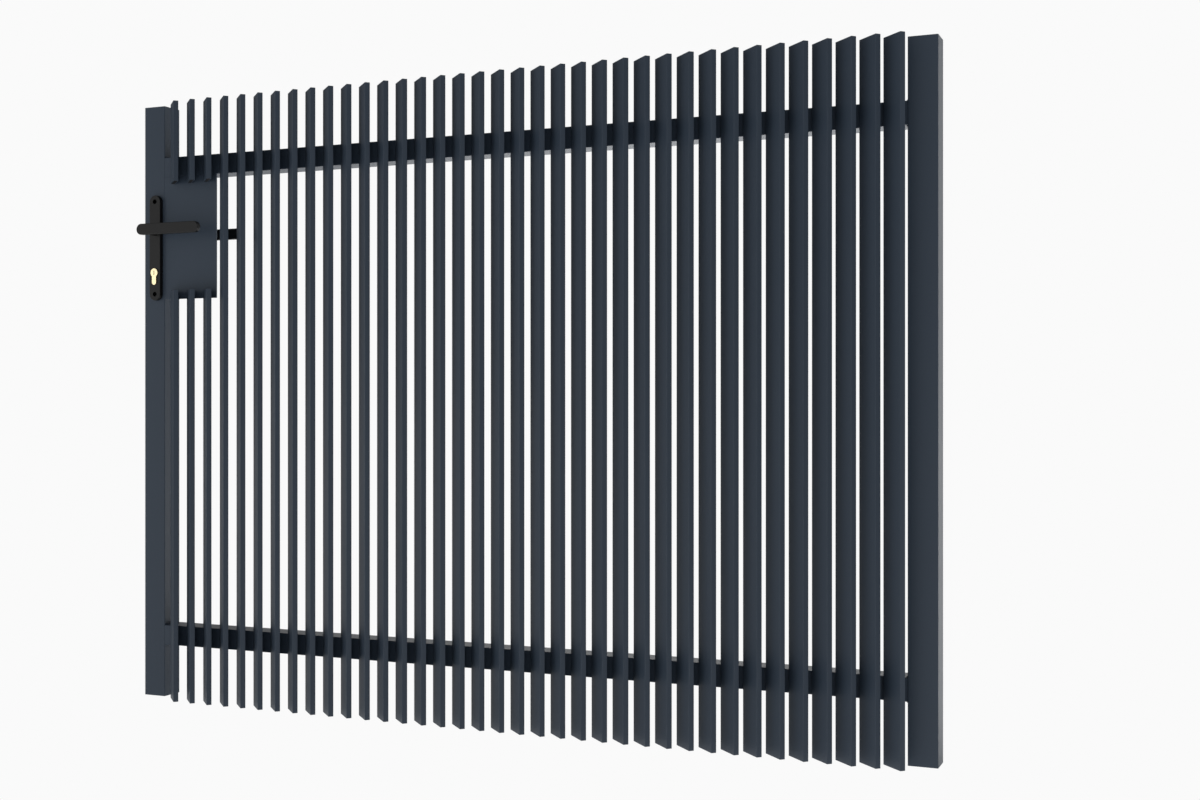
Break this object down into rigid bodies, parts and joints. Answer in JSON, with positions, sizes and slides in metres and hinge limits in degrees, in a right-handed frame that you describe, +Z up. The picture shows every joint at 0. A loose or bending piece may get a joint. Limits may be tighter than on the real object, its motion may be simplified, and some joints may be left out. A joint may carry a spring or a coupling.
{
  "type": "pedestrian gate leaf",
  "caption": "Single gate leaf of square tube with slanted vertical slats in front of two rails, a sheet beside the lock, lever handles on long plates and a profile cylinder.",
  "frame": {"origin": "on the outer flat face of the hinge stile, at mid depth, level with the foot of the leaf", "axes": "+Z up; +X out of the hinge stile, away from the leaf; -Y towards the street side, which carries the slats"},
  "size_m": [1.622, 0.151, 1.2],
  "materials": {
    "frame_coat": "satin anthracite grey powder coat on aluminium tube",
    "slat_coat": "satin anthracite grey powder coat on aluminium profile",
    "black_plugs": "moulded black polyethylene",
    "handle_black": "matt black coat on cast aluminium",
    "black_bolts": "black oxide steel",
    "cylinder_brass": "machined, satin",
    "stainless": "brushed stainless steel",
    "zinc_steel": "zinc-plated steel"
  },
  "bodies": {
    "leaf": {"hinge_stile": "frame_coat", "hinge_stile_foot_cap": "frame_coat", "hinge_stile_top_cap": "frame_coat", "lock_stile": "frame_coat", "lock_stile_foot_cap": "frame_coat", "lock_stile_top_cap": "frame_coat", "top_rail": "frame_coat", "bottom_rail": "frame_coat", "lock_box": "frame_coat", "slats": "slat_coat", "upper_cut_slats": "slat_coat", "lower_cut_slats": "slat_coat", "slat_top_plugs": "black_plugs", "slat_foot_plugs": "black_plugs", "upper_cut_slat_foot_plugs": "black_plugs", "lower_cut_slat_top_plugs": "black_plugs", "street_plate": "handle_black", "garden_plate": "handle_black", "plate_bolts": "black_bolts", "plate_nuts": "black_bolts", "lock_cylinder": "cylinder_brass", "street_key_plug": "cylinder_brass", "garden_key_plug": "cylinder_brass", "lock_case": "zinc_steel", "lock_forend": "stainless", "latch_bolt": "stainless", "dead_bolt": "stainless"},
    "levers": {"street_lever": "handle_black", "garden_lever": "handle_black", "spindle": "zinc_steel"}
  },
  "joints": [
    {"name": "lever_turn", "type": "hinge", "parent": "leaf", "child": "levers", "pos_m": [-1.5758, 0, 0.945], "axis": [0, 1, 0], "range_deg": [0, 40], "stiffness_Nm_per_rad": 1.2, "springref_deg": -20.05}
  ]
}
